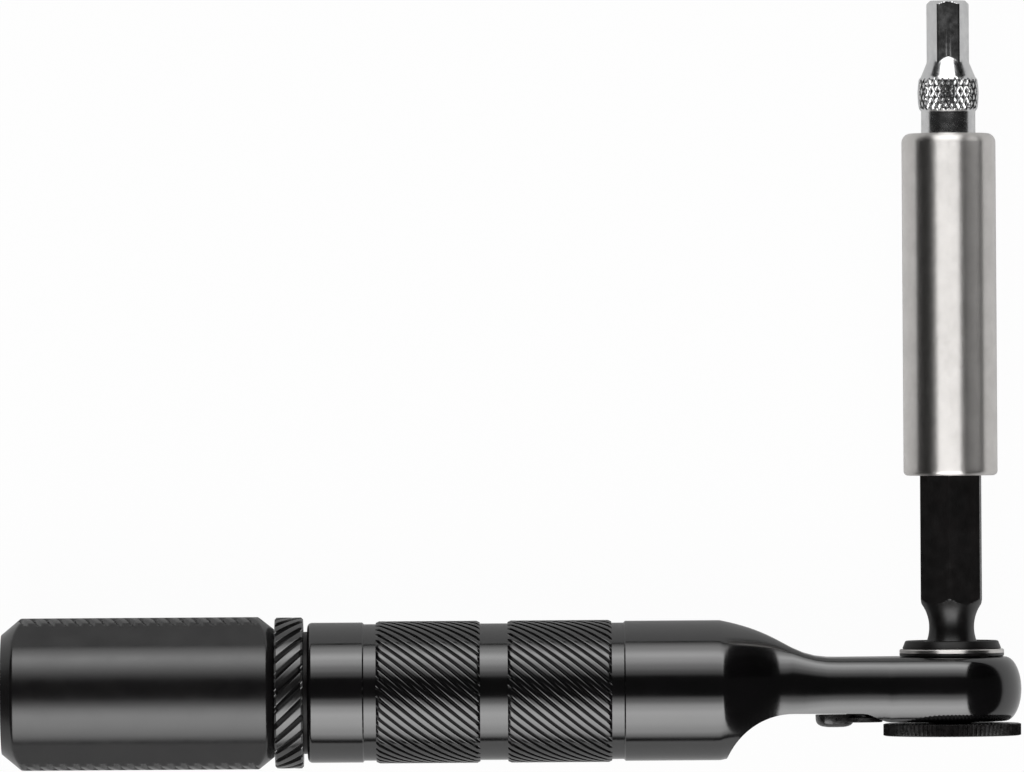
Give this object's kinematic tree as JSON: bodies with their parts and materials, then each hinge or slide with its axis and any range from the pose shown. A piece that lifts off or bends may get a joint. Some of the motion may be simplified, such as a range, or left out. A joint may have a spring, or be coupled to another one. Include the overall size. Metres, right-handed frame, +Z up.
{
  "type": "pocket bit ratchet",
  "caption": "L-shaped pocket ratchet for bicycle work: knurled hollow handle with a screw cap, reversible ratchet head with a thumb wheel, and a magnetic holder with a hex bit.",
  "frame": {"origin": "middle of the tool's outline, on the surface that the tool lies on", "axes": "+X along the handle from the end cap to the head, +Y along the drive axis towards the bit, +Z up from the surface"},
  "size_m": [0.1084, 0.0812, 0.0161],
  "materials": {
    "handle_black": "gloss black plating over steel",
    "cap_black": "satin black anodised",
    "ring_black": "satin black anodised, knurled",
    "wheel_black": "satin black",
    "black_oxide": "black oxide",
    "plain_steel": "bright spring steel",
    "sleeve_stainless": "turned stainless",
    "bit_chrome": "polished chrome",
    "magnet_grey": "nickel-plated magnet",
    "rubber_black": "soft black rubber"
  },
  "bodies": {
    "handle": {"handle_body": "handle_black", "cap_o_ring": "rubber_black", "spare_bit_rear": "bit_chrome", "spare_bit_front": "bit_chrome", "head_cover": "black_oxide"},
    "gear": {"ratchet_gear": "plain_steel", "gear_retaining_ring": "plain_steel", "nose_collar": "black_oxide", "socket_magnet": "magnet_grey", "thumb_wheel": "wheel_black"},
    "bit_holder": {"holder_shank": "black_oxide", "holder_sleeve": "sleeve_stainless", "holder_magnet": "magnet_grey", "holder_snap_ring": "plain_steel"},
    "bit": {"drive_bit": "bit_chrome"},
    "lever": {"reversing_lever": "wheel_black", "lever_plunger": "plain_steel", "plunger_spring": "plain_steel"},
    "pawl": {"pawl": "black_oxide"},
    "lock_ring": {"lock_ring": "ring_black"},
    "cap_carrier": {"cap_pad": "rubber_black"},
    "cap": {"end_cap": "cap_black"}
  },
  "joints": [
    {"name": "gear_spin", "type": "hinge", "parent": "handle", "child": "gear", "pos_m": [0.04686, -0.03254, 0.00803], "axis": [0, 1, 0], "continuous": true},
    {"name": "holder_pull", "type": "slide", "parent": "gear", "child": "bit_holder", "axis": [0, 1, 0], "range_m": [0, 0.0065]},
    {"name": "bit_pull", "type": "slide", "parent": "bit_holder", "child": "bit", "axis": [0, 1, 0], "range_m": [0, 0.0115]},
    {"name": "lever_turn", "type": "hinge", "parent": "handle", "child": "lever", "pos_m": [0.03706, -0.03254, 0.00803], "axis": [0, -1, 0], "range_deg": [0, 36]},
    {"name": "pawl_shift", "type": "slide", "parent": "handle", "child": "pawl", "axis": [0, 0, 1], "range_m": [0, 0.0007]},
    {"name": "lock_ring_turn", "type": "hinge", "parent": "handle", "child": "lock_ring", "pos_m": [-0.02364, -0.03254, 0.00803], "axis": [1, 0, 0], "range_deg": [0, 90]},
    {"name": "cap_travel", "type": "slide", "parent": "handle", "child": "cap_carrier", "axis": [-1, 0, 0], "range_m": [0, 0.0075]},
    {"name": "cap_turn", "type": "hinge", "parent": "cap_carrier", "child": "cap", "pos_m": [-0.03974, -0.03254, 0.00803], "axis": [-1, 0, 0], "range_deg": [0, 1800]}
  ],
  "couplings": [
    {"joint": "cap_travel", "follows": "cap_turn", "m_per_rad": 0.00023873}
  ]
}
